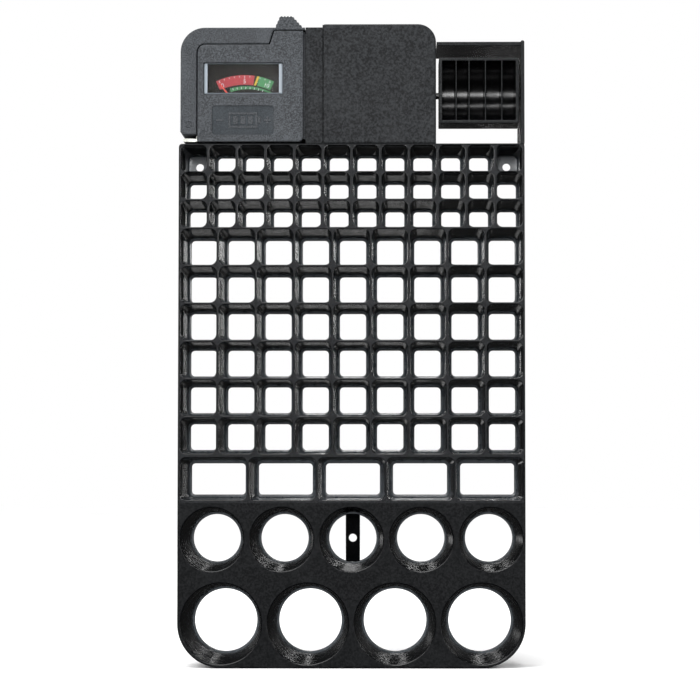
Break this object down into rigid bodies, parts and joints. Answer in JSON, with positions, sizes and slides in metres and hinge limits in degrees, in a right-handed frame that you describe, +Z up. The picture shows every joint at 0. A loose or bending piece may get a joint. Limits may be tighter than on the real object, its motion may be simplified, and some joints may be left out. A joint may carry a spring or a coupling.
{
  "type": "battery tester",
  "caption": "Wall battery organiser tray with a docked analogue battery tester and a swinging button-cell bin.",
  "frame": {"origin": "middle of the bottom skirt's rear edge, in the plane that goes against the wall", "axes": "+Z up the tray, +X to the right as seen from the front, -Y out of the open front, +Y into the wall"},
  "size_m": [0.178, 0.034, 0.335],
  "materials": {
    "tray_black": "glossy black moulded plastic with a fine matt grain on its front faces",
    "dock_black": "fine grained charcoal plastic",
    "bin_black": "polished black plastic",
    "tester_grey": "grained dark grey plastic",
    "clear_lens": "clear plastic lens",
    "dial_face": "printed dial: black with red, yellow and green bands",
    "needle_red": "painted red",
    "contact_steel": "plated steel",
    "magnet_grey": "bare magnet and soft iron",
    "coil_copper": "enamelled copper wire",
    "brass": "brass sheet",
    "board_tan": "paper phenolic board",
    "resistor_blue": "lacquered resistor body"
  },
  "bodies": {
    "tray": {"d_row": "tray_black", "c_row": "tray_black", "nine_volt_row": "tray_black", "aa_row_1": "tray_black", "aa_row_2": "tray_black", "aa_row_3": "tray_black", "aa_row_4": "tray_black", "aa_row_5": "tray_black", "aa_row_6": "tray_black", "aaa_row_1": "tray_black", "aaa_row_2": "tray_black", "aaa_row_3": "tray_black", "tester_dock": "dock_black", "bay_frame": "dock_black"},
    "tester": {"front_shell": "tester_grey", "rear_shell": "tester_grey", "shell_screw_1": "contact_steel", "shell_screw_2": "contact_steel", "shell_screw_3": "contact_steel", "shell_screw_4": "contact_steel", "cell_contact": "contact_steel", "button_contact": "contact_steel", "nine_volt_contact_positive": "contact_steel", "nine_volt_contact_negative": "contact_steel", "window": "clear_lens", "dial_plate": "dial_face", "core_magnet": "magnet_grey", "meter_yoke": "magnet_grey", "front_bridge": "brass", "rear_bridge": "brass", "hairspring": "brass", "arm_spring": "contact_steel", "circuit_board": "board_tan", "cell_load_resistor": "resistor_blue", "button_load_resistor": "resistor_blue"},
    "arm": {"test_arm": "tester_grey", "arm_contact": "contact_steel"},
    "meter": {"needle": "needle_red", "moving_coil": "coil_copper", "front_pivot": "contact_steel", "rear_pivot": "contact_steel"},
    "bin": {"button_bin": "bin_black"}
  },
  "joints": [
    {"name": "tester_out", "type": "slide", "parent": "tray", "child": "tester", "axis": [-1, 0, 0], "range_m": [0, 0.125]},
    {"name": "arm_slide", "type": "slide", "parent": "tester", "child": "arm", "axis": [-1, 0, 0], "range_m": [0, 0.06], "stiffness_N_per_m": 30, "springref_m": -0.02},
    {"name": "needle_swing", "type": "hinge", "parent": "tester", "child": "meter", "pos_m": [-0.0554, 0, 0.2841], "axis": [0, 1, 0], "range_deg": [0, 76.8], "stiffness_Nm_per_rad": 0.0002, "springref_deg": -28.65},
    {"name": "bin_swing", "type": "hinge", "parent": "tray", "child": "bin", "pos_m": [0.0656, -0.022, 0.2954], "axis": [-1, 0, 0], "range_deg": [0, 90]}
  ]
}
